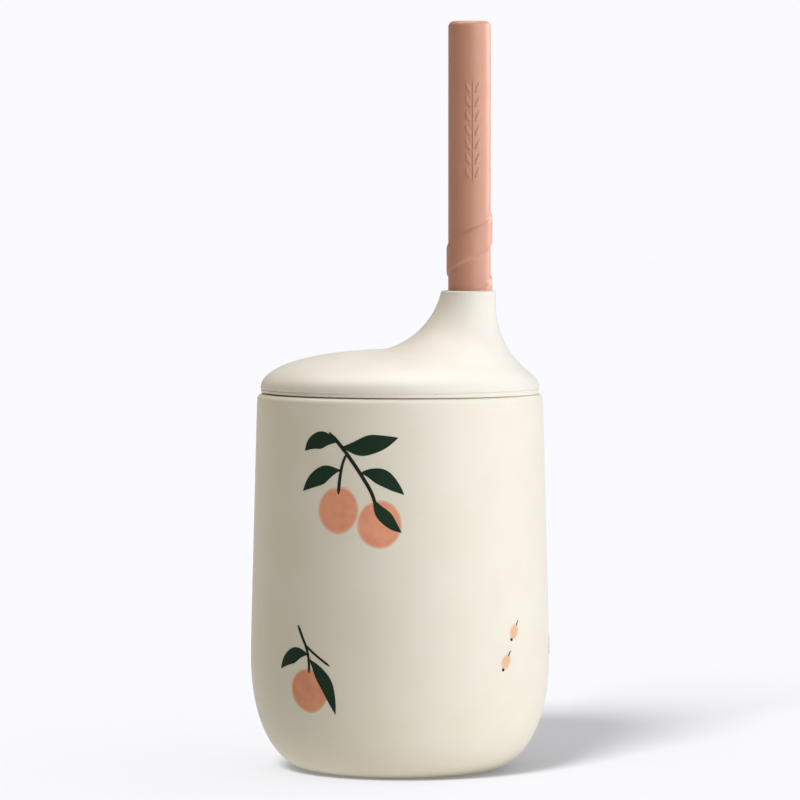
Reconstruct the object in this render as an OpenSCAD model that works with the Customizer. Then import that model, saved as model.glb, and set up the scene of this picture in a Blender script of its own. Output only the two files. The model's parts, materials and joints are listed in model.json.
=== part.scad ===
// Toddler's straw cup in soft moulded silicone: a rounded cup, a plug-in lid whose neck stands
// to one side, and a straw with a raised spiral grip. Sizes are in millimetres and +Z is up.
// The cup stands on Z = 0 with its axis on the Z axis, and the straw is on the +X side.

/* [Cup] */
// Height of the cup up to its rim
cup_height = 88; // [60:1:130]
// Radius at the widest part of the cup
cup_radius = 35; // [28:0.5:45]
// How far the radius tapers in between the widest part and the rim
rim_draw = 1.6; // [0:0.1:4]
// Radius of the flat foot under the cup
foot_radius = 19; // [12:0.5:26]
// Height of the large rounding between foot and side
corner_height = 28; // [12:1:40]
// Fullness of that rounding, where 2 is an ellipse
corner_power = 2.3; // [1.8:0.1:3.5]
// Thickness of the side wall
wall_thickness = 2.5; // [1.6:0.1:4]
// Thickness of the floor
floor_thickness = 3; // [1.8:0.1:5]
// Depth of the shallow recess inside the foot ring
recess_depth = 0.8; // [0.2:0.1:1.2]
// Width of the foot ring that the cup stands on
foot_ring_width = 2; // [1:0.1:5]
// Rounding of the rim's outer edge
rim_rounding = 1.3; // [0.4:0.1:1.4]
// Wall thickness beside the lid's plug
mouth_wall = 2.4; // [1.6:0.1:3.5]
// Depth of the cylindrical mouth that takes the plug
mouth_depth = 8.5; // [5:0.5:14]

/* [Lid] */
// How far the lid's edge stands in from the rim's outside
lid_inset = 0.75; // [0:0.05:2]
// Height of the upright edge of the lid
lid_edge_height = 1.35; // [0.8:0.05:3]
// Rounding under that edge
lid_edge_rounding = 0.8; // [0.2:0.05:1.2]
// Rise of the lid's dome above its edge
dome_height = 9.1; // [5:0.1:15]
// Fullness of the dome, where 2 is an ellipse
dome_power = 2.15; // [1.8:0.05:3]
// Thickness of the dome in its middle
dome_thickness = 2.4; // [1.4:0.1:4]
// Height of the neck's top above the rim
neck_height = 24; // [16:0.5:40]
// Wall of the neck around the straw
neck_wall = 0.8; // [0.6:0.1:2]
// Radius of the sweep between neck and dome
sweep_radius = 19; // [8:0.5:26]
// How much wider the sweep is on the short side than on the long side
sweep_skew = 0.95; // [0:0.05:2]
// How far the sweep sinks into the dome on the long side
sweep_sink = 0.5; // [0.05:0.05:1]
// Length of the neck that grips the straw
grip_length = 8; // [4:0.5:12]
// Radius of the hollow under the neck where it meets the dome
hollow_radius = 8; // [6.5:0.5:10]
// Depth of the plug that enters the mouth
plug_depth = 8; // [4:0.5:12]
// Thickness of the plug's skirt
plug_thickness = 2.1; // [1.4:0.1:3]
// Height of each sealing rib on the plug
rib_height = 1.2; // [0.8:0.1:2]

/* [Straw] */
// Distance of the straw's axis from the cup's axis
straw_offset = 16.2; // [12:0.2:22]
// Outer radius of the straw
straw_radius = 4.95; // [3.5:0.05:6.5]
// Radius of the hole through the straw
straw_bore = 3.2; // [2:0.1:4]
// Height of the straw's tip above the rim
straw_reach = 86.7; // [50:0.1:120]
// Rounding of the straw's tip
tip_rounding = 1.2; // [0.4:0.1:1.5]
// Height of the straw's lower end above the cup's floor
straw_lift = 2; // [0.5:0.5:10]
// How far the spiral grip stands out
grip_raise = 0.4; // [0.2:0.05:0.8]
// Depth below the neck's top at which the spiral grip starts
grip_depth = 18.7; // [10:0.1:30]
// Rise of the spiral grip in one turn
grip_pitch = 14.7; // [8:0.1:24]
// Share of each turn that is raised
grip_share = 0.5; // [0.3:0.05:0.7]
// Turns of the spiral grip
grip_turns = 2.28; // [1:0.02:4]

/* [Fits] */
// Gap between the rim and the lid's edge
rim_gap = 0.05; // [0.02:0.01:0.3]
// Gap between the mouth and the plug's skirt
plug_gap = 0.4; // [0.1:0.05:1]
// Gap between the mouth and the sealing ribs
rib_gap = 0.05; // [0.02:0.01:0.2]
// Gap between the neck's bore and the spiral grip
bore_gap = 0.05; // [0.02:0.01:0.3]

/* [Hidden] */
$fn = 96;
overlap = 1;
rim_radius = cup_radius - rim_draw;
mouth_radius = rim_radius - mouth_wall;
recess_radius = foot_radius - foot_ring_width;
taper_softness = 4;
inner_rim_rounding = 0.6;
mouth_lead = 0.8;
corner_steps = 20;
side_steps = 8;
edge_steps = 5;

lid_radius = rim_radius - lid_inset;
lid_bottom = cup_height + rim_gap;
dome_sink = 0.2;
dome_step = 0.05;
dome_base = lid_bottom + lid_edge_height - dome_sink;
dome_radius = lid_radius - dome_step;
dome_foot_inset = 0.3;
dome_foot_height = 0.5;
neck_top = cup_height + neck_height;
neck_bore = straw_radius + grip_raise + bore_gap;
neck_radius = neck_bore + neck_wall;
neck_edge_rounding = 0.55;
neck_excess = 8;
hollow_top = neck_top - grip_length;
plug_bottom = lid_bottom - plug_depth;
plug_radius = mouth_radius - plug_gap;
rib_radius = mouth_radius - rib_gap;
rib_slope = 0.4;
rib_levels = [0.36, 0.74];
cavity_radius = plug_radius - plug_thickness;
cavity_height = dome_base + dome_height - dome_thickness - cup_height;
lid_sides = 60;
sweep_steps = 12;
dome_steps = 12;
cavity_steps = 14;

straw_bottom = floor_thickness + straw_lift;
straw_top = cup_height + straw_reach;
tip_inner_rounding = 0.5;
grip_start = neck_top - grip_depth;
grip_edge = 0.13;
grip_fade = 70;
grip_sides = 40;
grip_rows = 40;
grip_inset = 0.02;
grip_margin = 2;
grip_low = grip_start - grip_margin;
grip_high = grip_start + (grip_turns + grip_share) * grip_pitch + grip_margin;

cup_color = [0.93, 0.91, 0.85];
lid_color = [0.93, 0.91, 0.85];
straw_color = [0.76, 0.54, 0.46];

// Soft step from 0 to 1
function soft_step(t) = let (u = min(1, max(0, t))) u * u * (3 - 2 * u);

// Superellipse height over a share u of the half width
function bulge(u, power) = pow(max(0, 1 - pow(min(1, abs(u)), power)), 1 / power);

// Taper of the side, blended softly into the rounding
function side_draw(z) =
    let (above = z - corner_height)
    rim_draw / (cup_height - corner_height)
        * (sqrt(above * above + taper_softness * taper_softness) + above) / 2;

// Points on the rounding, by angle from the foot (0) to the side (90)
function corner_out(a) = pow(sin(a), 2 / corner_power);
function corner_up(a) = pow(cos(a), 2 / corner_power);
function corner_z(a) = corner_height * (1 - corner_up(a));
function corner_r(a) =
    foot_radius + (cup_radius - foot_radius) * corner_out(a) - side_draw(corner_z(a));

// Outward normal of the rounding
function corner_normal(a) =
    let (
        across = pow(corner_out(a), corner_power - 1) / (cup_radius - foot_radius),
        down = pow(corner_up(a), corner_power - 1) / corner_height,
        size = norm([across, down])
    )
    [across / size, -down / size];

function inner_corner(a) =
    let (n = corner_normal(a))
    [corner_r(a) - wall_thickness * n[0], corner_z(a) - floor_thickness * n[1]];

// Quarter arc about a centre, from angle a to angle b
function arc(centre, radius, a, b) =
    [for (i = [0 : edge_steps])
        let (t = a + (b - a) * i / edge_steps)
        centre + radius * [cos(t), sin(t)]];

mouth_bottom = cup_height - mouth_depth;
side_top = cup_height - rim_rounding;
cup_profile = concat(
    [[0, recess_depth], [recess_radius, recess_depth], [recess_radius + recess_depth, 0]],
    [for (i = [0 : corner_steps])
        let (a = 90 * i / corner_steps)
        [corner_r(a), corner_z(a)]],
    [for (i = [1 : side_steps - 1])
        let (z = corner_height + (side_top - corner_height) * i / side_steps)
        [cup_radius - side_draw(z), z]],
    arc([rim_radius - rim_rounding, side_top], rim_rounding, 0, 90),
    arc([mouth_radius + inner_rim_rounding, cup_height - inner_rim_rounding],
        inner_rim_rounding, 90, 180),
    [[mouth_radius, mouth_bottom]],
    [for (i = [side_steps : -1 : 1])
        let (z = corner_height + (mouth_bottom - mouth_lead - corner_height) * i / side_steps)
        [cup_radius - side_draw(z) - wall_thickness, z]],
    [for (i = [corner_steps : -1 : 0]) inner_corner(90 * i / corner_steps)],
    [[0, floor_thickness]]
);

// Dome of the lid, as height and slope over the distance from the cup's axis
function dome_z(r) = dome_base + dome_height * bulge(r / dome_radius, dome_power);
function dome_slope(r) =
    let (u = r / dome_radius)
    -dome_height / dome_radius * pow(u, dome_power - 1)
        * pow(max(0.0001, 1 - pow(u, dome_power)), 1 / dome_power - 1);
function dome_lean(r) = let (s = dome_slope(r)) -s / sqrt(1 + s * s);

// Distance at which a ball of the sweep's radius touches the dome under its centre line
function touch(reach, ball, low, high, steps) =
    let (mid = (low + high) / 2)
    steps == 0 ? mid :
    mid + ball * dome_lean(mid) > reach ? touch(reach, ball, low, mid, steps - 1) :
    touch(reach, ball, mid, high, steps - 1);

// Distance at which the lowered ball crosses the dome
function crossing(reach, centre_z, ball, low, high, steps) =
    let (mid = (low + high) / 2)
    steps == 0 ? high :
    norm([mid - reach, dome_z(mid) - centre_z]) > ball
        ? crossing(reach, centre_z, ball, mid, high, steps - 1)
        : crossing(reach, centre_z, ball, low, mid, steps - 1);

// One line of points down the outside of the lid, at angle a about the straw's axis
function lid_line(a) =
    let (
        ball = sweep_radius + sweep_skew * cos(a),
        away = neck_radius + ball,
        centre_x = straw_offset + away * cos(a),
        centre_y = away * sin(a),
        reach = norm([centre_x, centre_y]),
        out_x = centre_x / reach,
        out_y = centre_y / reach,
        tangent = touch(reach, ball, 0, dome_radius, 24),
        sink = sweep_sink * (1 - cos(a)) / 2,
        lean = dome_lean(tangent),
        centre_z = dome_z(tangent) + ball * sqrt(1 - lean * lean) - sink,
        meet = crossing(reach, centre_z, ball, 0, tangent, 24),
        first = [-cos(a), -sin(a), 0],
        last = [out_x * (meet - reach), out_y * (meet - reach), dome_z(meet) - centre_z] / ball,
        turn = acos(first * last),
        foot = dome_radius - dome_foot_inset
    )
    concat(
        [[straw_offset + neck_radius * cos(a), neck_radius * sin(a), neck_top + neck_excess]],
        [for (i = [0 : sweep_steps])
            let (t = i / sweep_steps)
            [centre_x, centre_y, centre_z]
                + ball * (sin((1 - t) * turn) * first + sin(t * turn) * last) / sin(turn)],
        [for (i = [1 : dome_steps])
            let (r = meet + (dome_radius - meet) * sin(90 * i / dome_steps))
            [out_x * r, out_y * r, dome_z(r)]],
        [[out_x * foot, out_y * foot, lid_bottom + dome_foot_height]]
    );

// Closed solid through lines of points that run downwards, counter-clockwise about +Z
module lofted(lines) {
    sides = len(lines);
    rows = len(lines[0]);
    polyhedron(
        points = [for (line = lines) for (p = line) p],
        faces = concat(
            [[for (j = [sides - 1 : -1 : 0]) j * rows]],
            [for (j = [0 : sides - 1]) for (i = [0 : rows - 2])
                let (k = (j + 1) % sides)
                [j * rows + i, k * rows + i, k * rows + i + 1]],
            [for (j = [0 : sides - 1]) for (i = [0 : rows - 2])
                let (k = (j + 1) % sides)
                [j * rows + i, k * rows + i + 1, j * rows + i + 1]],
            [[for (j = [0 : sides - 1]) j * rows + rows - 1]]
        )
    );
}

module lid_outside() {
    lofted([for (j = [0 : lid_sides - 1]) lid_line(360 * j / lid_sides)]);
}

// Points of one sealing rib on the plug's skirt
function rib(level) =
    let (z = plug_bottom + level * plug_depth)
    [[plug_radius, z - rib_height / 2],
        [rib_radius, z - rib_height / 2 + rib_slope],
        [rib_radius, z + rib_height / 2 - rib_slope],
        [plug_radius, z + rib_height / 2]];

// Upright edge, plug skirt and its sealing ribs, as one turned shape
module lid_edge_and_plug() {
    rotate_extrude()
        polygon(concat(
            [[0, plug_bottom], [plug_radius - rib_slope, plug_bottom],
                [plug_radius, plug_bottom + rib_slope]],
            rib(rib_levels[0]),
            rib(rib_levels[1]),
            [[plug_radius, lid_bottom]],
            arc([lid_radius - lid_edge_rounding, lid_bottom + lid_edge_rounding],
                lid_edge_rounding, -90, 0),
            [[lid_radius, lid_bottom + lid_edge_height], [0, lid_bottom + lid_edge_height]]
        ));
}

module lid_cavity() {
    rotate_extrude()
        polygon(concat(
            [[0, plug_bottom - overlap], [cavity_radius, plug_bottom - overlap]],
            [for (i = [0 : cavity_steps - 1])
                let (r = cavity_radius * cos(90 * i / cavity_steps))
                [r, cup_height + cavity_height * bulge(r / cavity_radius, dome_power)]],
            [[0, cup_height + cavity_height]]
        ));
}

module neck_hollow() {
    top = neck_top + neck_excess + overlap;
    translate([straw_offset, 0, 0])
        rotate_extrude()
            polygon([
                [0, cup_height], [hollow_radius, cup_height],
                [hollow_radius, cup_height + cavity_height],
                [neck_bore, hollow_top], [neck_bore, top], [0, top]
            ]);
}

module neck_trim() {
    edge = neck_top - neck_edge_rounding - overlap;
    reach = neck_radius + neck_excess + overlap;
    top = neck_top + neck_excess + 2 * overlap;
    translate([straw_offset, 0, 0])
        rotate_extrude()
            polygon([
                [0, neck_top],
                [neck_radius - neck_edge_rounding, neck_top],
                [neck_radius + overlap, edge], [reach, edge], [reach, top], [0, top]
            ]);
}

module cup() {
    color(cup_color)
        rotate_extrude()
            polygon(cup_profile);
}

module lid() {
    color(lid_color)
        difference() {
            union() {
                lid_outside();
                lid_edge_and_plug();
            }
            lid_cavity();
            neck_hollow();
            neck_trim();
        }
}

// Height of the spiral grip above the straw at angle a and height z
function grip_rise(a, z) =
    let (
        phase = (z - grip_start) / grip_pitch - a / 360,
        turn = floor(phase),
        across = phase - turn,
        along = a + 360 * turn,
        side = soft_step(across / grip_edge) * soft_step((grip_share - across) / grip_edge),
        ends = soft_step(along / grip_fade)
            * soft_step((360 * grip_turns - along) / grip_fade)
    )
    grip_raise * side * ends;

module spiral_grip() {
    lofted([for (j = [0 : grip_sides - 1])
        let (a = 360 * j / grip_sides)
        [for (i = [0 : grip_rows])
            let (
                z = grip_high + (grip_low - grip_high) * i / grip_rows,
                r = straw_radius - grip_inset + grip_rise(a, z)
            )
            [r * cos(a), r * sin(a), z]]]);
}

module straw_tube() {
    rotate_extrude()
        polygon([
            [0, straw_bottom], [straw_radius, straw_bottom],
            [straw_radius, grip_low + overlap], [0, grip_low + overlap]
        ]);
    rotate_extrude()
        polygon(concat(
            [[0, grip_high - overlap], [straw_radius, grip_high - overlap]],
            arc([straw_radius - tip_rounding, straw_top - tip_rounding], tip_rounding, 0, 90),
            [[straw_bore, straw_top - tip_inner_rounding], [0, straw_top - tip_inner_rounding]]
        ));
}

module straw() {
    color(straw_color)
        translate([straw_offset, 0, 0])
            difference() {
                union() {
                    straw_tube();
                    spiral_grip();
                }
                translate([0, 0, straw_bottom - overlap])
                    cylinder(r = straw_bore, h = straw_top - straw_bottom + 2 * overlap);
            }
}

cup();
lid();
straw();
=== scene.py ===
import json
from math import acos, asin, atan2, cos, degrees, exp, floor, hypot, log, pi, radians, sin, sqrt

import bpy
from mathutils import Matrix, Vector


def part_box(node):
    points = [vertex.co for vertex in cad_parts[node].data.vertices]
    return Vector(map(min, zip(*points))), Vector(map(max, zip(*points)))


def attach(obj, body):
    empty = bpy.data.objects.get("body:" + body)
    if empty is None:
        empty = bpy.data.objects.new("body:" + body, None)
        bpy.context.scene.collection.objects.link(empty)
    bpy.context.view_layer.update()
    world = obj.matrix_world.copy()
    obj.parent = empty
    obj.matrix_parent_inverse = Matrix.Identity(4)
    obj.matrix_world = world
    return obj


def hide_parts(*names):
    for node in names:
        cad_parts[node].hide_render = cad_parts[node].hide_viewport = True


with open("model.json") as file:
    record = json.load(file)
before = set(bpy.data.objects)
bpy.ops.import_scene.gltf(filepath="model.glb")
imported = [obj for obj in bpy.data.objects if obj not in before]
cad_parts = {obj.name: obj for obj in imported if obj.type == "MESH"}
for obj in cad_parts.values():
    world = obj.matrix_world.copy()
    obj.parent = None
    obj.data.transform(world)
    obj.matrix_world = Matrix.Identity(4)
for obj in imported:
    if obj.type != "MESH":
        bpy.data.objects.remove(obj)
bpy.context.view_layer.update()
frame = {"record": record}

mm = 0.001

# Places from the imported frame. Every length is in millimetres until it goes into a mesh.
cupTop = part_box("cup")[1][2] / mm
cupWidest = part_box("cup")[1][0] / mm
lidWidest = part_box("lid")[1][0] / mm
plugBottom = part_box("lid")[0][2] / mm
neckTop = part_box("lid")[1][2] / mm
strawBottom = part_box("straw")[0][2] / mm
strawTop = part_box("straw")[1][2] / mm
strawHole = next(mount for mount in frame["record"]["mounts"] if mount["name"] == "straw_bore")
strawX = strawHole["pos_m"][0] / mm
strawHoleRadius = strawHole["dims"]["r_mm"]


# Small tools

def softStep(t):
    t = min(1, max(0, t))
    return t * t * (3 - 2 * t)


def between(a, b, t):
    return a + (b - a) * t


def bulge(share, power):
    return max(0, 1 - min(1, abs(share)) ** power) ** (1 / power)


def roundOff(centre, radius, start, end, steps=6):
    # points of an arc in a profile, angles in degrees
    angles = [radians(between(start, end, i / steps)) for i in range(steps + 1)]
    return [(centre[0] + radius * cos(a), centre[1] + radius * sin(a)) for a in angles]


def deselectAll():
    if bpy.context.object and bpy.context.object.mode != "OBJECT":
        bpy.ops.object.mode_set(mode="OBJECT")
    bpy.ops.object.select_all(action="DESELECT")


def editAll():
    bpy.ops.object.mode_set(mode="EDIT")
    bpy.ops.mesh.select_mode(type="VERT")
    bpy.ops.mesh.select_all(action="SELECT")


def closeDoubles():
    editAll()
    bpy.ops.mesh.remove_doubles(threshold=0.0005 * mm)
    bpy.ops.mesh.select_all(action="SELECT")
    bpy.ops.mesh.normals_make_consistent(inside=False)
    bpy.ops.object.mode_set(mode="OBJECT")


sharpAngle = 40  # degrees, past which an edge stays crisp


def finishPiece(piece, name, body, slot, material):
    # place into the mesh, smooth shading, material, and onto its body
    deselectAll()
    piece.name = name
    piece.data.name = name
    piece.select_set(True)
    bpy.context.view_layer.objects.active = piece
    bpy.ops.object.transform_apply(location=True, rotation=True, scale=True)
    bpy.ops.object.shade_smooth_by_angle(angle=radians(sharpAngle))
    piece.data.materials.clear()
    piece.data.materials.append(material)
    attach(piece, body)
    return piece


def startRing(sides, radius, height, centreX=0):
    deselectAll()
    bpy.ops.mesh.primitive_circle_add(
        vertices=sides, radius=radius * mm, fill_type="NOTHING",
        location=(centreX * mm, 0, height * mm))
    editAll()
    return bpy.context.object


def raiseWall(profile, centreX=0):
    # pulls the selected ring along a profile of (radius, height)
    for (oldRadius, oldHeight), (radius, height) in zip(profile, profile[1:]):
        bpy.ops.mesh.extrude_region_move(
            TRANSFORM_OT_translate={"value": (0, 0, (height - oldHeight) * mm)})
        size = radius / oldRadius
        bpy.ops.transform.resize(
            value=(size, size, 1), center_override=(centreX * mm, 0, height * mm))


def closeEnds():
    bpy.ops.mesh.edge_face_add()
    bpy.ops.mesh.select_all(action="DESELECT")
    bpy.ops.mesh.select_non_manifold()
    bpy.ops.mesh.edge_face_add()
    bpy.ops.object.mode_set(mode="OBJECT")


# Shader tools

def hexColour(text):
    # sRGB hex to the linear colour that the shaders take
    values = [int(text[i:i + 2], 16) / 255 for i in (1, 3, 5)]
    linear = [v / 12.92 if v <= 0.04045 else ((v + 0.055) / 1.055) ** 2.4 for v in values]
    return (*linear, 1)


def addNode(tree, kind, settings=None, links=None, **attributes):
    # one node with its attributes, socket values and incoming links
    node = tree.nodes.new(kind)
    for key, value in attributes.items():
        setattr(node, key, value)
    for socket, value in (settings or {}).items():
        node.inputs[socket].default_value = value
    for socket, source in (links or {}).items():
        tree.links.new(source, node.inputs[socket])
    return node


def newMaterial(name):
    material = bpy.data.materials.new(name)
    material.use_nodes = True
    material.node_tree.nodes.clear()
    return material, material.node_tree


def pigmentClouds(tree, place, size, detail, fineness, base, cloud):
    # two tones of one pigment that drift into each other, in clouds of this size in metres
    noise = addNode(tree, "ShaderNodeTexNoise", {"Scale": 1 / size, "Detail": detail, "Roughness": fineness},
                    {"Vector": place})
    drift = addNode(tree, "ShaderNodeMapRange", {"From Min": 0.3, "From Max": 0.7},
                    {"Value": noise.outputs["Fac"]}, interpolation_type="SMOOTHSTEP")
    tones = addNode(tree, "ShaderNodeMix", {"A": hexColour(cloud), "B": hexColour(base)},
                    {"Factor": drift.outputs["Result"]}, data_type="RGBA")
    return tones.outputs["Result"]


def mouldGrain(tree, place):
    # blasted mould grain, really 0.05 mm, drawn at 0.25 mm so that it shows
    grain = addNode(tree, "ShaderNodeTexNoise", {"Scale": 1 / (0.25 * mm), "Detail": 2.0, "Roughness": 0.6},
                    {"Vector": place})
    bump = addNode(tree, "ShaderNodeBump", {"Strength": 0.25, "Distance": 0.01 * mm},
                   {"Height": grain.outputs["Fac"]})
    return bump.outputs["Normal"]


siliconeIor = 1.41


# Liquid silicone rubber, moulded in a blasted steel mould: an even satin skin with no gloss,
# slightly see-through at thin edges, with the faintest clouding of its pigment
def mouldedSilicone(name, base, cloud, roughness, scatter, shine):
    material, tree = newMaterial(name)
    place = addNode(tree, "ShaderNodeTexCoord").outputs["Object"]
    colour = pigmentClouds(tree, place, 12 * mm, 3.0, 0.5, base, cloud)
    # the touch of many hands: slightly shinier and duller places about 5 mm across
    touch = addNode(tree, "ShaderNodeTexNoise", {"Scale": 1 / (5 * mm), "Detail": 4.0, "Roughness": 0.6},
                    {"Vector": place})
    sheen = addNode(tree, "ShaderNodeMapRange",
                    {"From Min": 0.3, "From Max": 0.7,
                     "To Min": roughness - 0.05, "To Max": roughness + 0.05},
                    {"Value": touch.outputs["Fac"]})
    skin = addNode(tree, "ShaderNodeBsdfPrincipled",
                   {"IOR": siliconeIor, "Specular IOR Level": shine, "Subsurface Weight": scatter,
                    "Subsurface Scale": 1.5 * mm, "Subsurface Radius": (1.0, 0.7, 0.5)},
                   {"Base Color": colour, "Roughness": sheen.outputs["Result"],
                    "Normal": mouldGrain(tree, place)})
    addNode(tree, "ShaderNodeOutputMaterial", links={"Surface": skin.outputs["BSDF"]})
    return material


# Silicone ink, screen printed and cured on the cup: matte, flush with the wall, and a little
# uneven where the screen laid it down
def printedInk(name, base, cloud, edge, edgeWidth):
    material, tree = newMaterial(name)
    place = addNode(tree, "ShaderNodeTexCoord").outputs["Object"]
    body = pigmentClouds(tree, place, 4 * mm, 4.0, 0.6, base, cloud)
    # the ink runs out over the edge's width, a little ragged by the weave of the screen
    inside = addNode(tree, "ShaderNodeAttribute", attribute_name="inside")  # millimetres from the outline
    weave = addNode(tree, "ShaderNodeTexNoise", {"Scale": 1 / (0.4 * mm), "Detail": 2.0}, {"Vector": place})
    ragged = addNode(tree, "ShaderNodeMath", {1: 0.5 * edgeWidth}, {0: weave.outputs["Fac"]},
                     operation="MULTIPLY")
    reach = addNode(tree, "ShaderNodeMath", links={0: inside.outputs["Fac"], 1: ragged.outputs["Value"]},
                    operation="SUBTRACT")
    cover = addNode(tree, "ShaderNodeMapRange", {"From Min": 0.0, "From Max": edgeWidth},
                    {"Value": reach.outputs["Value"]})
    colour = addNode(tree, "ShaderNodeMix", {"A": hexColour(edge)},
                     {"B": body, "Factor": cover.outputs["Result"]}, data_type="RGBA")
    ink = addNode(tree, "ShaderNodeBsdfPrincipled",
                  {"IOR": siliconeIor, "Specular IOR Level": 0.25, "Roughness": 0.6},
                  {"Base Color": colour.outputs["Result"], "Normal": mouldGrain(tree, place)})
    addNode(tree, "ShaderNodeOutputMaterial", links={"Surface": ink.outputs["BSDF"]})
    return material


# name, two tones of the pigment, roughness, see-through share, shine
cream = mouldedSilicone("creamSilicone", "#efe6d6", "#ece3d0", 0.48, 0.12, 0.5)
lidCream = mouldedSilicone("lidCreamSilicone", "#efe7db", "#ece4d6", 0.48, 0.12, 0.5)
terracotta = mouldedSilicone("terracottaSilicone", "#c88f74", "#c48a6f", 0.45, 0.08, 0.8)
# name, two tones, the thin ink at the edge and its width in millimetres
leafInk = printedInk("leafInk", "#19331f", "#162d1c", "#24402c", 0.10)
twigInk = printedInk("twigInk", "#23281a", "#1e2216", "#30372a", 0.08)
peachInk = printedInk("peachInk", "#f1a483", "#e59774", "#ecc8ad", 0.45)
budInk = printedInk("budInk", "#edc09b", "#e8b690", "#eed6bb", 0.25)
print("materials ready")


# Cup: a turned shell with a full rounding to its foot

cup = {
    "sides": 160,
    "rimDraw": 1.6,          # taper between the widest part and the rim
    "footRadius": 19,
    "cornerHeight": 28,
    "cornerPower": 2.3,
    "wall": 2.5,
    "floor": 3,
    "recessRadius": 17,
    "recessDepth": 0.8,
    "rimRounding": 1.3,
    "mouthWall": 2.4,
    "mouthDepth": 8.5,
    "mouthStep": 0.8,        # height over which the mouth narrows to the wall
    "innerRimRounding": 0.6,
    "taperSoftness": 4,
    "recessRounding": 0.4,
    "footRounding": 0.5,
    "gateRadius": 1.6,       # the mould's gate mark under the cup
    "gateHeight": 0.2,
    "gateRounding": 0.1,
    "recessRing": 8,         # radii of the rings across the flat of the recess and of the floor
    "floorRings": (12, 6, 1),
}
rimRadius = cupWidest - cup["rimDraw"]
mouthRadius = rimRadius - cup["mouthWall"]


def sideDraw(z):
    above = z - cup["cornerHeight"]
    slope = cup["rimDraw"] / (cupTop - cup["cornerHeight"])
    return slope * (sqrt(above * above + cup["taperSoftness"] ** 2) + above) / 2


def cupRadiusAt(z):
    share = max(0, (cup["cornerHeight"] - z) / cup["cornerHeight"])
    return between(cup["footRadius"], cupWidest, bulge(share, cup["cornerPower"])) - sideDraw(z)


def cornerPoint(angle, inset=0):
    # outside of the rounding, or the inside when inset is 1, from foot (0) to side (90)
    power = cup["cornerPower"]
    out, up = sin(radians(angle)) ** (2 / power), max(0, cos(radians(angle))) ** (2 / power)
    z = cup["cornerHeight"] * (1 - up)
    r = between(cup["footRadius"], cupWidest, out) - sideDraw(z)
    across = out ** (power - 1) / (cupWidest - cup["footRadius"])
    down = up ** (power - 1) / cup["cornerHeight"]
    size = hypot(across, down)
    return r - inset * cup["wall"] * across / size, z + inset * cup["floor"] * down / size


def cupProfile():
    c = cup
    recess, sideTop = c["recessRadius"], cupTop - c["rimRounding"]
    mouthBottom = cupTop - c["mouthDepth"]
    cornerAngles = [90 * i / 40 for i in range(41)]
    lowSide = c["cornerHeight"]
    gateTop = c["recessDepth"] - c["gateHeight"]
    gateRadius, gateRounding = c["gateRadius"], c["gateRounding"]
    inner, outer = c["recessRounding"], c["footRounding"]
    profile = [(0.25 * gateRadius, gateTop), (gateRadius - 2 * gateRounding, gateTop),
               (gateRadius, gateTop + gateRounding), (gateRadius + gateRounding, c["recessDepth"]),
               (c["recessRing"], c["recessDepth"])]
    profile += roundOff((recess - inner, c["recessDepth"] - inner), inner, 90, 20, 4)
    profile += roundOff((recess + inner + outer, outer), outer, 200, 270, 5)
    profile += [cornerPoint(a) for a in cornerAngles]
    for i in range(1, 24):
        z = between(lowSide, sideTop, i / 24)
        profile.append((cupWidest - sideDraw(z), z))
    profile += roundOff((rimRadius - c["rimRounding"], sideTop), c["rimRounding"], 0, 90, 8)
    profile += roundOff((mouthRadius + c["innerRimRounding"], cupTop - c["innerRimRounding"]),
                        c["innerRimRounding"], 90, 180, 6)
    profile += [(mouthRadius, between(cupTop, mouthBottom, 0.5)), (mouthRadius, mouthBottom)]
    for i in range(16, 0, -1):
        z = between(lowSide, mouthBottom - c["mouthStep"], i / 16)
        profile.append((cupWidest - sideDraw(z) - c["wall"], z))
    profile += [cornerPoint(a, 1) for a in reversed(cornerAngles)]
    profile += [(r, c["floor"]) for r in c["floorRings"]]
    return profile


def makeCup():
    profile = cupProfile()
    piece = startRing(cup["sides"], *profile[0])
    raiseWall(profile)
    closeEnds()
    closeDoubles()
    finishPiece(piece, "cupShell", "cup", "cup_silicone", cream)
    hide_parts("cup")


makeCup()
print("cup made")


# Lid: a dome with a swept neck to one side, an upright edge, and a ribbed plug underneath.
# A ball of the sweep's radius rolls round the neck and along the dome, and leaves the sweep.

lid = {
    "columns": 144,
    "bottom": cupTop + 0.05,  # just clear of the rim
    "edgeHeight": 1.35,
    "lipTop": 1.0,           # of the fine lip round the lid's edge, above the parting line
    "lipInset": 0.17,
    "lipRounding": 0.25,
    "lipUnderRounding": 0.12,
    "lipWidth": 0.6,
    # the lip stands clear of the rim, which shows as a dark line: its gap at the far side from the
    # neck, and at the neck, where the lid sits deeper
    "shadowGap": (0.28, 0.02),
    "tuck": ((0.1, 0.22), (0.2, 0.1), (0.32, 0.02)),  # the edge's inset, and its height over the lip
    "domeHeight": 9.1,
    "domePower": 2.15,
    "domeSink": 0.2,         # the dome starts this far under the edge's top
    "domeThickness": 2.4,
    "ledge": 0.05,           # the dome stands in from the lip by this
    "neckRadius": 6.2,
    "neckBore": 5.4,
    "neckRounding": 0.62,
    "boreRounding": 0.15,
    "sweepRadius": 19,
    "sweepSkew": 0.95,       # wider on the short side
    "sweepSink": 0.5,        # sinks into the dome on the long side, which leaves a faint crease
    "gripLength": 8,
    "hollowRadius": 8,
    "plugGap": 0.4,
    "plugThickness": 2.1,
    "plugRounding": 0.5,
    "plugShoulder": (0.35, 0.1),  # width and height of the slope where the plug meets the lip
    "ribLevels": (0.36, 0.74),
    "ribHeight": 1.2,
    "ribGap": 0.05,
}
domeBase = lid["bottom"] + lid["edgeHeight"] - lid["domeSink"]
domeRadius = lidWidest - lid["ledge"]
plugRadius = mouthRadius - lid["plugGap"]
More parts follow.
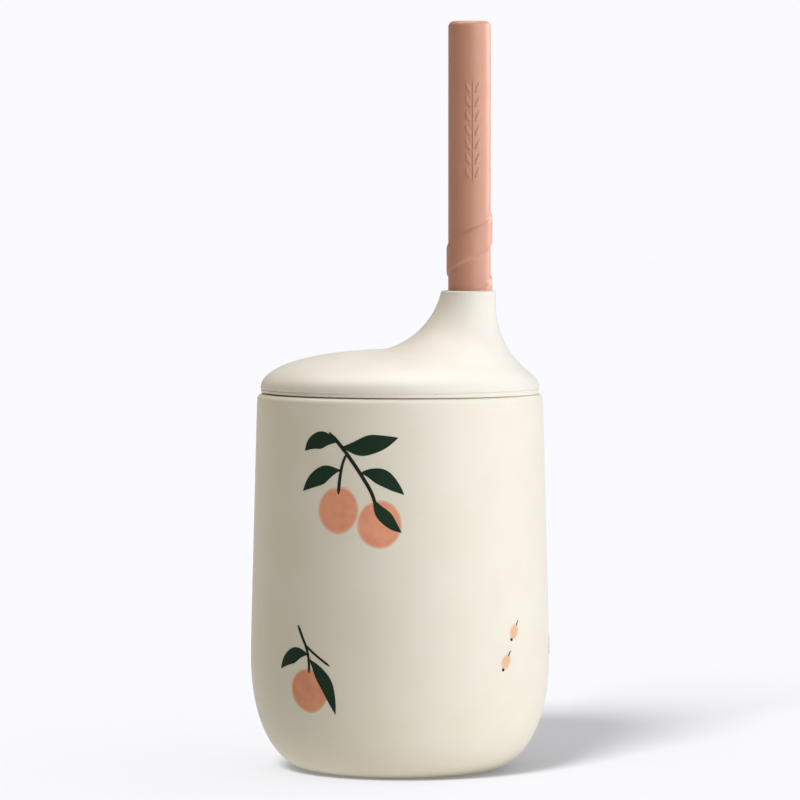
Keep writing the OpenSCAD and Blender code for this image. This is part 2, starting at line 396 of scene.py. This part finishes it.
cavityRadius = plugRadius - lid["plugThickness"]
cavityHeight = domeBase + lid["domeHeight"] - lid["domeThickness"] - cupTop


def domeZ(r):
    return domeBase + lid["domeHeight"] * bulge(r / domeRadius, lid["domePower"])


def domeLean(r):
    u, power = r / domeRadius, lid["domePower"]
    slope = (lid["domeHeight"] / domeRadius * u ** (power - 1)
             * max(0.0001, 1 - u ** power) ** (1 / power - 1))
    return slope / hypot(1, slope)


def halve(low, high, tooFar, steps=40):
    for _ in range(steps):
        middle = (low + high) / 2
        low, high = (low, middle) if tooFar(middle) else (middle, high)
    return high


def ballAt(angle):
    ball = lid["sweepRadius"] + lid["sweepSkew"] * cos(angle)
    away = lid["neckRadius"] + ball
    return ball, strawX + away * cos(angle), away * sin(angle)


def rimAngle(angle):
    _, x, y = ballAt(angle)
    return atan2(y, x) % (2 * pi)


def columnAngles():
    # directions about the straw whose spacing is shared between neck and rim
    count = lid["columns"]
    angles = [0.0]
    for j in range(1, count):
        target = 2 * pi * j / count
        angles.append(halve(0, 2 * pi - 1e-6, lambda a: (a + rimAngle(a)) / 2 > target))
    return angles


def outsideLine(angle, sweepRows=34, domeRows=20):
    # points from under the neck's rounding down to the parting line
    ball, centreX, centreY = ballAt(angle)
    reach = hypot(centreX, centreY)
    outX, outY = centreX / reach, centreY / reach
    tangent = halve(0, domeRadius, lambda r: r + ball * domeLean(r) > reach)
    lean = domeLean(tangent)
    sink = lid["sweepSink"] * (1 - cos(angle)) / 2
    centreZ = domeZ(tangent) + ball * sqrt(1 - lean * lean) - sink
    meet = halve(0, tangent, lambda r: hypot(r - reach, domeZ(r) - centreZ) <= ball)
    centre = Vector((centreX, centreY, centreZ))
    first = Vector((-cos(angle), -sin(angle), 0))
    last = (Vector((outX * meet, outY * meet, domeZ(meet))) - centre).normalized()
    turn = acos(first.dot(last))
    top = neckTop - lid["neckRounding"]
    drop = top - centreZ
    upright = max(0, drop)
    skipped = asin(min(1, drop / ball * sin(turn) / last.z)) if drop < 0 else 0
    length = upright + ball * (turn - skipped)
    points = []
    for i in range(sweepRows + 1):
        run = length * i / sweepRows
        if run < upright:
            points.append(Vector((strawX + lid["neckRadius"] * cos(angle),
                                  lid["neckRadius"] * sin(angle), top - run)))
            continue
        t = skipped + (run - upright) / ball
        points.append(centre + ball * (sin(turn - t) * first + sin(t) * last) / sin(turn))
    flatTop = lid["bottom"] + lid["edgeHeight"]
    edge = halve(0, domeRadius, lambda r: domeZ(r) < flatTop)
    for i in range(1, domeRows + 1):
        r = between(meet, edge, sin(pi / 2 * i / domeRows))
        points.append(Vector((outX * r, outY * r, domeZ(r))))
    return points


def ribProfile(level):
    z = plugBottom + level * (lid["bottom"] - plugBottom)
    out, half = mouthRadius - lid["ribGap"] - plugRadius, lid["ribHeight"] / 2
    return [(plugRadius + out * sin(pi * i / 8) ** 0.7, z + half * (2 * i / 8 - 1)) for i in range(9)]


def edgeAndPlugProfile(angle):
    # the shell tucks in under the dome, a fine lip stands over the shadow gap, then the plug
    edge, bottom = lidWidest, lid["bottom"]
    lipEdge, lipTop = edge - lid["lipInset"], bottom + lid["lipTop"]
    lipBottom = bottom + between(*lid["shadowGap"], (1 + cos(angle)) / 2)
    upper, lower = lid["lipRounding"], lid["lipUnderRounding"]
    down = [(edge - 0.04, bottom + lid["edgeHeight"])]
    down += [(edge - inset, lipTop + over) for inset, over in lid["tuck"]]
    down += roundOff((lipEdge - upper, lipTop - upper), upper, 60, 0, 5)
    down += roundOff((lipEdge - lower, lipBottom + lower), lower, 0, -90, 4)
    shoulder, drop = lid["plugShoulder"]
    down += [(lipEdge - lid["lipWidth"], lipBottom), (plugRadius + shoulder, lipBottom),
             (plugRadius, bottom - drop)]
    for level in reversed(lid["ribLevels"]):
        down += list(reversed(ribProfile(level)))
    rounding = lid["plugRounding"]
    down += roundOff((plugRadius - rounding, plugBottom + rounding), rounding, 0, -90, 5)
    down += roundOff((cavityRadius + rounding, plugBottom + rounding), rounding, 270, 180, 5)
    down += [(cavityRadius, between(plugBottom, cupTop, t)) for t in (0.35, 0.7, 1)]
    return down


def circleAt(centreX, radius, z, turns):
    return [Vector((centreX + radius * cos(a), radius * sin(a), z)) for a in turns]


def lidRows():
    angles = columnAngles()
    rims = [rimAngle(a) for a in angles]
    lines = [outsideLine(a) for a in angles]
    bore, rounding = lid["neckBore"], lid["neckRounding"]
    inner = lid["boreRounding"]
    rows = [circleAt(strawX, r, z, angles)
            for r, z in roundOff((bore + inner, neckTop - inner), inner, 180, 90, 4)]
    outer = [hypot(line[0].x - strawX, line[0].y) for line in lines]
    for lift in (90, 72, 54, 36, 18):
        inset = rounding * (1 - cos(radians(lift)))
        z = neckTop - rounding * (1 - sin(radians(lift)))
        rows.append([Vector((strawX + (r - inset) * cos(a), (r - inset) * sin(a), z))
                     for r, a in zip(outer, angles)])
    rows += [[line[i] for line in lines] for i in range(len(lines[0]))]
    for ring in zip(*[edgeAndPlugProfile(rim) for rim in rims]):
        rows.append([Vector((r * cos(rim), r * sin(rim), z)) for (r, z), rim in zip(ring, rims)])
    # the hollow's ceiling, whose rings move from the cup's axis to the straw's
    ceilingRows = 14
    for i in range(1, ceilingRows + 1):
        share = 1 - cos(pi / 2 * i / ceilingRows)
        radius = between(cavityRadius, lid["hollowRadius"], share)
        row = []
        for a, rim in zip(angles, rims):
            turn = between(rim, a, share)
            x, y = strawX * share + radius * cos(turn), radius * sin(turn)
            z = cupTop + cavityHeight * bulge(hypot(x, y) / cavityRadius, lid["domePower"])
            row.append(Vector((x, y, z)))
        rows.append(row)
    hollowTop = neckTop - lid["gripLength"]
    for t in (0, 0.25, 0.5, 0.75, 1):
        radius = between(lid["hollowRadius"], bore, softStep(t))
        rows.append(circleAt(strawX, radius, between(cupTop + cavityHeight, hollowTop, t), angles))
    rows.append(circleAt(strawX, bore, between(hollowTop, neckTop, 0.5), angles))
    rows.append(rows[0])
    return rows


def makeLid():
    rows = lidRows()
    count = lid["columns"]
    # a tall cage is raised ring by ring, then each of its rings is drawn into place
    deselectAll()
    bpy.ops.mesh.primitive_circle_add(vertices=count, radius=1, fill_type="NOTHING", location=(0, 0, 0))
    piece = bpy.context.object
    editAll()
    for _ in rows[1:]:
        bpy.ops.mesh.extrude_region_move(TRANSFORM_OT_translate={"value": (0, 0, 1)})
    bpy.ops.object.mode_set(mode="OBJECT")
    for vertex in piece.data.vertices:
        column = round(atan2(vertex.co.y, vertex.co.x) / (2 * pi) * count) % count
        vertex.co = rows[round(vertex.co.z)][column] * mm
    closeDoubles()
    finishPiece(piece, "lidShell", "lid", "lid_silicone", lidCream)
    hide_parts("lid")


makeLid()
print("lid made")


# Straw: a tube with a rounded tip, and a raised right-handed spiral where it enters the neck

straw = {
    "sides": 144,
    "radius": 4.95,
    "tipRounding": 1.3,
    "tipInnerRounding": 0.45,
    "footRounding": 0.4,
    "footInnerRounding": 0.3,
    "rowHeight": 0.3,        # of the rings that carry the spiral
    "gripRaise": 0.4,
    "gripPitch": 14.7,
    "gripShare": 0.5,
    "gripTurns": 2.28,
    "gripStart": neckTop - 18.7,
    "gripEdge": 0.055,       # share of a turn over which the edge rises
    "gripFade": 70,          # degrees over which the ends run out
}


def gripRise(angle, z):
    phase = (z - straw["gripStart"]) / straw["gripPitch"] - angle / 360
    turn = floor(phase)
    across, along = phase - turn, angle + 360 * turn
    edge = straw["gripEdge"]
    side = softStep(across / edge) * softStep((straw["gripShare"] - across) / edge)
    ends = softStep(along / straw["gripFade"])
    ends *= softStep((360 * straw["gripTurns"] - along) / straw["gripFade"])
    return straw["gripRaise"] * side * ends


def strawProfile():
    s, inner = straw, strawHoleRadius
    radius, outerTip, innerTip = s["radius"], s["tipRounding"], s["tipInnerRounding"]
    outerFoot, innerFoot = s["footRounding"], s["footInnerRounding"]
    gripLow = s["gripStart"] - 1
    gripHigh = s["gripStart"] + (s["gripTurns"] + s["gripShare"]) * s["gripPitch"] + 1
    rows = round((gripHigh - gripLow) / s["rowHeight"])
    profile = roundOff((radius - outerFoot, strawBottom + outerFoot), outerFoot, -90, 0, 4)
    profile += [(radius, between(strawBottom, gripLow, i / 16)) for i in range(1, 16)]
    profile += [(radius, between(gripLow, gripHigh, i / rows)) for i in range(rows + 1)]
    top = strawTop - outerTip
    profile += [(radius, between(gripHigh, top, i / 12)) for i in range(1, 12)]
    profile += roundOff((radius - outerTip, top), outerTip, 0, 90, 10)
    profile += roundOff((inner + innerTip, strawTop - innerTip), innerTip, 90, 180, 5)
    profile += [(inner, between(strawTop - innerTip, strawBottom + innerFoot, i / 30)) for i in range(1, 30)]
    profile += roundOff((inner + innerFoot, strawBottom + innerFoot), innerFoot, 180, 270, 3)
    profile.append(profile[0])
    return profile


def makeStraw():
    profile = strawProfile()
    piece = startRing(straw["sides"], *profile[0], strawX)
    raiseWall(profile, strawX)
    bpy.ops.object.mode_set(mode="OBJECT")
    deselectAll()
    piece.select_set(True)
    bpy.context.view_layer.objects.active = piece
    bpy.ops.object.transform_apply(location=True, rotation=True, scale=True)
    for vertex in piece.data.vertices:
        x, y, z = vertex.co.x / mm - strawX, vertex.co.y / mm, vertex.co.z / mm
        r = hypot(x, y)
        if r > straw["radius"] - 0.01:
            grown = (r + gripRise(degrees(atan2(y, x)) % 360, z)) / r
            vertex.co = ((strawX + x * grown) * mm, y * grown * mm, z * mm)
    closeDoubles()
    finishPiece(piece, "strawTube", "straw", "straw_silicone", terracotta)
    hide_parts("straw")


makeStraw()
print("straw made")


# Flat shapes that are wrapped round the cup or the straw. Across is measured along the wall from
# the front, towards +X, and up is the height, both in millimetres.

def aroundCup(across, up, lift):
    angle = across / printing["wrapRadius"]
    r = cupRadiusAt(up) + lift
    return Vector((r * sin(angle), -r * cos(angle), up)) * mm


def aroundStraw(across, up, lift):
    angle = across / straw["radius"]
    r = straw["radius"] + lift
    return Vector((strawX + r * sin(angle), -r * cos(angle), up)) * mm


def patch(columns, rows, pointAt, wrap, lift):
    # a grid whose points are drawn to their places and then wrapped round the wall
    deselectAll()
    bpy.ops.mesh.primitive_grid_add(x_subdivisions=columns, y_subdivisions=rows, size=2)
    piece = bpy.context.object
    inside = piece.data.attributes.new("inside", "FLOAT", "POINT")
    for vertex in piece.data.vertices:
        t, side = (vertex.co.x + 1) / 2, vertex.co.y
        (across, up), depth = pointAt(t, side)
        rise = lift(depth) if callable(lift) else lift
        vertex.co = wrap(across, up, rise)
        inside.data[vertex.index].value = depth
    closeDoubles()
    return piece


def faceOutwards(piece, axisX):
    # a thin patch may come out either way round, so it is turned by its own middle face
    face = piece.data.polygons[len(piece.data.polygons) // 2]
    away = Vector((face.center.x - axisX * mm, face.center.y, 0))
    if face.normal.dot(away) < 0:
        editAll()
        bpy.ops.mesh.flip_normals()
        bpy.ops.object.mode_set(mode="OBJECT")


def thicken(piece, thickness):
    deselectAll()
    piece.select_set(True)
    bpy.context.view_layer.objects.active = piece
    bpy.ops.object.modifier_add(type="SOLIDIFY")
    piece.modifiers[-1].thickness = thickness * mm
    piece.modifiers[-1].offset = -1
    bpy.ops.object.modifier_apply(modifier=piece.modifiers[-1].name)


def joined(pieces):
    deselectAll()
    for piece in pieces:
        piece.select_set(True)
    bpy.context.view_layer.objects.active = pieces[0]
    if len(pieces) > 1:
        bpy.ops.object.join()
    return bpy.context.object


def leafAt(leaf, ripple=0.05, stalk=0.5):
    # place on a leaf: t along its midrib, side from -1 to 1 across it
    base, bend, tip = (Vector(leaf[key]) for key in ("base", "bend", "tip"))

    def place(t, side):
        middle = base * (1 - t) ** 2 + bend * 2 * t * (1 - t) + tip * t * t
        along = ((bend - base) * (1 - t) + (tip - bend) * t).normalized()
        belly = leaf["bellies"][0 if side > 0 else 1]
        swell = sin(pi * t ** (log(0.5) / log(belly))) if 0 < t < 1 else 0
        wave = 1 + ripple * sin(11 * t + 2 * side)  # a margin that isn't drawn with a compass
        half = max(leaf["width"] / 2 * max(0, swell) ** 0.95 * wave, stalk / 2 * max(0, 1 - 2 * t))
        return middle + Vector((-along.y, along.x)) * half * side, half * (1 - abs(side))
    return place


def twigAt(twig):
    # place on a twig that runs smoothly through its points
    points = [Vector(p) for p in twig["path"]]
    points = [2 * points[0] - points[1]] + points + [2 * points[-1] - points[-2]]
    spans = len(points) - 3

    def spot(t):
        run = min(t * spans, spans - 1e-6)
        i = int(run)
        f = run - i
        a, b, c, d = points[i:i + 4]
        return 0.5 * ((2 * b) + (c - a) * f + (2 * a - 5 * b + 4 * c - d) * f * f
                      + (3 * b - a - 3 * c + d) * f ** 3)

    def place(t, side):
        along = (spot(min(1, t + 0.01)) - spot(max(0, t - 0.01))).normalized()
        half = between(*twig["width"], t) / 2
        half *= min(1, 0.35 + 8 * t, 0.35 + 8 * (1 - t))
        return spot(t) + Vector((-along.y, along.x)) * half * side, half * (1 - abs(side))
    return place


def fruitAt(fruit, shoulder=0.04):
    # t turns round the fruit and side runs from its middle to its skin
    width, height = fruit["size"]
    turn = radians(fruit["turn"])

    def place(t, side):
        angle, share = 2 * pi * t, (side + 1) / 2
        top, bottom = cos(angle / 2) ** 2, sin(angle / 2) ** 2
        edge = 1 - fruit["dimple"] * exp(-(1 - top) / 0.02) + fruit["point"] * bottom ** 24
        edge *= 1 + shoulder * sin(2 * angle + 0.6) * top
        x, y = sin(angle) * width / 2 * edge * share, cos(angle) * height / 2 * edge * share
        spot = Vector((x * cos(turn) - y * sin(turn), x * sin(turn) + y * cos(turn)))
        return spot + Vector(fruit["centre"]), (1 - share) * min(width, height) / 2
    return place


# Print: sprigs of round fruit, drawn about the point where their twigs fork. A leaf bends from its
# base to its tip, and its bellies say how far along each side is widest. A fruit has a dimple at
# its top and a point at its foot.

sprigs = {
    "pair": {
        "twigs": [
            {"path": [(-5.7, 6.0), (-2.6, 3.0), (0.6, -0.9), (3.2, -4.6), (5.0, -7.6), (6.1, -10.8)],
             "width": (0.9, 0.8)},
            {"path": [(-1.2, 1.2), (-2.2, -1.4), (-2.8, -4.6), (-3.1, -8.0)], "width": (0.6, 0.85)},
        ],
        "leaves": [
            {"base": (-2.4, 2.8), "bend": (3.6, 2.4), "tip": (11.2, 5.0), "width": 4.4,
             "bellies": (0.56, 0.5)},
            {"base": (-3.4, 3.8), "bend": (-8.4, 5.8), "tip": (-12.6, 1.6), "width": 3.9,
             "bellies": (0.5, 0.55)},
            {"base": (-2.5, -2.6), "bend": (-7.4, -2.4), "tip": (-13.0, -7.6), "width": 3.9,
             "bellies": (0.55, 0.55)},
            {"base": (2.2, -3.2), "bend": (7.6, -2.6), "tip": (12.6, -8.0), "width": 3.7,
             "bellies": (0.5, 0.55)},
            {"base": (5.4, -8.8), "bend": (7.4, -13.2), "tip": (12.0, -16.6), "width": 3.1,
             "bellies": (0.55, 0.5)},
        ],
        "fruits": [
            {"centre": (-3.2, -11.6), "size": (10.4, 10.7), "turn": 3, "dimple": 0.06, "point": 0.05},
            {"centre": (6.8, -14.7), "size": (10.7, 10.9), "turn": 12, "dimple": 0.05, "point": 0.03},
        ],
        "buds": [],
    },
    "single": {
        "twigs": [
            {"path": [(-3.3, 6.0), (-2.0, 3.4), (-0.6, 0.6), (0.0, -2.0), (0.1, -4.9)],
             "width": (0.65, 0.65)},
            {"path": [(-1.0, 1.5), (1.6, -0.4), (5.6, -3.0)], "width": (0.55, 0.5)},
        ],
        "leaves": [
            {"base": (-0.2, -0.6), "bend": (-5.0, 0.4), "tip": (-8.9, -4.4), "width": 3.4,
             "bellies": (0.52, 0.52)},
            {"base": (0.0, -1.6), "bend": (5.0, -5.2), "tip": (6.6, -14.2), "width": 3.3,
             "bellies": (0.55, 0.5)},
        ],
        "fruits": [
            {"centre": (-0.2, -8.8), "size": (10.8, 10.2), "turn": 4, "dimple": 0.05, "point": 0.05},
        ],
        "buds": [],
    },
    "bud": {
        "twigs": [
            {"path": [(0.7, 1.3), (1.2, 2.1), (1.5, 2.5)], "width": (0.3, 0.25)},
        ],
        "leaves": [],
        "fruits": [],
        "buds": [
            {"centre": (0, 0), "size": (2.7, 3.9), "turn": -28, "dimple": 0, "point": 0.04},
        ],
    },
}

# where each sprig stands on the wall; the last value mirrors it
printPlaces = [
    ("pair", -11.6, 74.3, 1), ("single", -22.1, 30.0, 1),
    ("bud", 29.4, 34.2, 1), ("bud", 26.6, 27.4, 1),
    ("single", 60.6, 31.6, 1), ("pair", 90.0, 68.0, -1), ("bud", 62.0, 70.0, -1),
    ("single", -77.0, 44.0, -1), ("bud", 104.0, 33.0, 1), ("bud", 100.6, 26.4, -1),
    ("bud", -66.0, 76.0, 1),
]

# how far each ink stands proud of the wall, and how finely it is cut: along it and across it
printing = {
    "wrapRadius": 34.5,
    "fruitLift": 0.025,
    "leafLift": 0.045,
    "twigLift": 0.05,
    "thickness": 0.07,
    "leafGrid": (28, 8),
    "twigGrid": (24, 4),
    "fruitGrid": (64, 12),
    "budGrid": (32, 8),
    "seedGrid": (16, 3),
}
budSeed = {"centre": (-0.95, -1.75), "size": (0.75, 0.75), "turn": 0, "dimple": 0, "point": 0}


def makePrint():
    leaves, twigs, fruits, buds = [], [], [], []
    for kind, acrossAt, upAt, way in printPlaces:
        def wrap(across, up, lift, acrossAt=acrossAt, upAt=upAt, way=way):
            return aroundCup(acrossAt + way * across, upAt + up, lift)
        sprig, p = sprigs[kind], printing
        leaves += [patch(*p["leafGrid"], leafAt(leaf), wrap, p["leafLift"]) for leaf in sprig["leaves"]]
        twigs += [patch(*p["twigGrid"], twigAt(twig), wrap, p["twigLift"]) for twig in sprig["twigs"]]
        fruits += [patch(*p["fruitGrid"], fruitAt(fruit), wrap, p["fruitLift"]) for fruit in sprig["fruits"]]
        buds += [patch(*p["budGrid"], fruitAt(bud), wrap, p["fruitLift"]) for bud in sprig["buds"]]
        if kind == "bud":
            twigs.append(patch(*p["seedGrid"], fruitAt(budSeed, 0), wrap, p["leafLift"]))
    for name, pieces, slot, ink in (("leafPrint", leaves, "leaf_ink", leafInk),
                                    ("twigPrint", twigs, "twig_ink", twigInk),
                                    ("fruitPrint", fruits, "fruit_ink", peachInk),
                                    ("budPrint", buds, "bud_ink", budInk)):
        for piece in pieces:
            faceOutwards(piece, 0)
            thicken(piece, printing["thickness"])
        finishPiece(joined(pieces), name, "cup", slot, ink)


makePrint()
print("print made")


# Raised ear of small leaves on the straw's front, moulded in one with it

ear = {
    "bottom": 138.0,
    "pairs": 7,
    "spacing": 3.3,
    "leafLength": 3.0,
    "leafWidth": 1.25,
    "spread": 1.55,          # how far the leaf tips stand from the stem
    "raise": 0.16,
    "sink": 0.05,            # how far its foot goes into the straw
    "slope": 0.28,           # width of its soft edge
    "thickness": 0.2,
    "across": 0.75,          # of its stem, from the straw's front
    "stemWidth": 0.55,
    "stemBelow": 1.6,        # how far it runs on below the lowest leaves and above the highest
    "stemAbove": 0.4,
    "leafGrid": (20, 12),
    "stemGrid": (48, 10),
}


def makeEar():
    def lift(depth):
        return between(-ear["sink"], ear["raise"], softStep(depth / ear["slope"]))

    pieces, across = [], ear["across"]
    for i in range(ear["pairs"]):
        foot = ear["bottom"] + i * ear["spacing"]
        for way in (-1, 1):
            leaf = {"base": (across + way * 0.3, foot), "bend": (across + way * 1.5, foot + 0.9),
                    "tip": (across + way * ear["spread"], foot + ear["leafLength"]),
                    "width": ear["leafWidth"], "bellies": (0.5, 0.5)}
            pieces.append(patch(*ear["leafGrid"], leafAt(leaf, 0, 0.2), aroundStraw, lift))
    bottom, top = ear["bottom"], ear["bottom"] + ear["pairs"] * ear["spacing"] + ear["stemAbove"]
    stem = {"path": [(across, bottom - ear["stemBelow"]), (across, (bottom + top) / 2), (across, top)],
            "width": (ear["stemWidth"], ear["stemWidth"])}
    pieces.append(patch(*ear["stemGrid"], twigAt(stem), aroundStraw, lift))
    for piece in pieces:
        faceOutwards(piece, strawX)
        thicken(piece, ear["thickness"])
    finishPiece(joined(pieces), "strawEar", "straw", "straw_silicone", terracotta)


makeEar()
print("straw's raised ear made")


# Studio: a pale floor that runs to a pale dome, and soft lights from the right, above and behind

studio = {
    "cameraPlace": (0, -1.168, 0.138),
    "cameraAim": (0, 0, 0.0864),
    "lens": 225.2,
    "sensor": 36,
    "roomRadius": 7,
    "domeColour": "#fbfaff",
    "floorColour": "#b3b3b6",   # grey card under strong light, so that the cup hardly tints it
    "floorBounce": "#9f9f9a",   # what the card sends back up to the cup
    "floorPaintedGlow": 0.4,           # the card's own painted glow, no lamp behind it, which keeps its shadows pale
    "lightAim": (0, 0, 0.08),
    "lights": [
        {"name": "keyLight", "place": (0.98, -0.69, 0.42), "size": 1.3, "power": 11.6, "colour": "#e9f1ff"},
        {"name": "frontLight", "place": (0.75, -0.9, 0.75), "size": 1.0, "power": 6.0, "colour": "#fffcfa"},
        {"name": "sideLight", "place": (1.25, 0.25, 0.35), "size": 0.6, "power": 2.4, "colour": "#e0e8ff"},
        {"name": "topLight", "place": (0.1, 0.22, 1.36), "size": 0.6, "power": 8.4, "colour": "#eff5ff"},
        {"name": "topLeftLight", "place": (-0.5, 0.2, 1.26), "size": 0.6, "power": 7.6, "colour": "#fff8ea"},
    ],
    # the straw's own, from behind on the right, which gives it a bright edge
    "strawLights": [
        {"name": "strawLight", "place": (1.0, 0.62, 0.45), "size": 0.7, "power": 9, "colour": "#f6fbff"},
    ],
    # the floor's own: a wide one from above, and one that throws the soft shadow
    "floorLights": [
        {"name": "floorFill", "place": (0, 0, 1), "strength": 2.55, "angle": 180},
        {"name": "floorSun", "place": (-0.286, -0.698, 0.656), "strength": 4.4, "angle": 17},
    ],
}


def aimAt(thing, target):
    direction = Vector(target) - thing.location
    thing.rotation_mode = "QUATERNION"
    thing.rotation_quaternion = direction.to_track_quat("-Z", "Y")


def onlyFor(light, items, state):
    # the light reaches only these items, or everything but these items
    group = bpy.data.collections.new(light.name + "Reach")
    for item in items:
        group.objects.link(item)
    for member in group.collection_objects:
        member.light_linking.link_state = state
    light.light_linking.receiver_collection = group


def addLight(kind, values, target):
    bpy.ops.object.light_add(type=kind, location=values["place"])
    light = bpy.context.object
    light.name = values["name"]
    light.visible_camera = False
    aimAt(light, target)
    return light


def addSoftBox(values):
    light = addLight("AREA", values, studio["lightAim"])
    light.data.shape = "DISK"
    light.data.size = values["size"]
    light.data.energy = values["power"]
    light.data.color = hexColour(values["colour"])[:3]
    return light


def makeStudio():
    deselectAll()
    bpy.ops.object.camera_add(location=studio["cameraPlace"])
    camera = bpy.context.object
    camera.data.lens = studio["lens"]
    camera.data.sensor_width = studio["sensor"]
    aimAt(camera, studio["cameraAim"])
    bpy.context.scene.camera = camera
    bpy.context.scene.view_settings.view_transform = "Standard"

    room = studio["roomRadius"]
    bpy.ops.mesh.primitive_circle_add(vertices=96, radius=room, fill_type="NGON", location=(0, 0, 0))
    floorPiece = bpy.context.object
    floorPiece.name = "studioFloor"
    material, tree = newMaterial("paperFloor")
    ray = addNode(tree, "ShaderNodeLightPath")
    shade = addNode(tree, "ShaderNodeMix",
                    {"A": hexColour(studio["floorColour"]), "B": hexColour(studio["floorBounce"])},
                    {"Factor": ray.outputs["Is Diffuse Ray"]}, data_type="RGBA").outputs["Result"]
    lit = addNode(tree, "ShaderNodeBsdfDiffuse", links={"Color": shade})
    # the floor glows by itself: painted light added to the card, which keeps its shadows pale
    glow = addNode(tree, "ShaderNodeEmission", {"Strength": studio["floorPaintedGlow"]}, {"Color": shade})
    paper = addNode(tree, "ShaderNodeAddShader", links={0: lit.outputs["BSDF"], 1: glow.outputs["Emission"]})
    addNode(tree, "ShaderNodeOutputMaterial", links={"Surface": paper.outputs["Shader"]})
    floorPiece.data.materials.append(material)

    bpy.ops.mesh.primitive_uv_sphere_add(segments=64, ring_count=32, radius=room, location=(0, 0, 0))
    dome = bpy.context.object
    dome.name = "studioDome"
    material, tree = newMaterial("paperDome")
    glow = addNode(tree, "ShaderNodeEmission", {"Color": hexColour(studio["domeColour"])})
    addNode(tree, "ShaderNodeOutputMaterial", links={"Surface": glow.outputs["Emission"]})
    dome.data.materials.append(material)
    dome.visible_diffuse = dome.visible_glossy = dome.visible_shadow = False
    dome.visible_transmission = dome.visible_volume_scatter = False

    world = bpy.data.worlds.new("darkStudio")
    bpy.context.scene.world = world
    world.use_nodes = True
    world.node_tree.nodes["Background"].inputs["Strength"].default_value = 0

    strawPieces = [bpy.data.objects["strawTube"], bpy.data.objects["strawEar"]]
    for values in studio["lights"]:
        onlyFor(addSoftBox(values), [floorPiece], "EXCLUDE")
    for values in studio["strawLights"]:
        onlyFor(addSoftBox(values), strawPieces, "INCLUDE")
    for values in studio["floorLights"]:
        light = addLight("SUN", values, (0, 0, 0))
        light.data.energy = values["strength"]
        light.data.angle = radians(values["angle"])
        onlyFor(light, [floorPiece], "INCLUDE")


makeStudio()
print("studio ready")
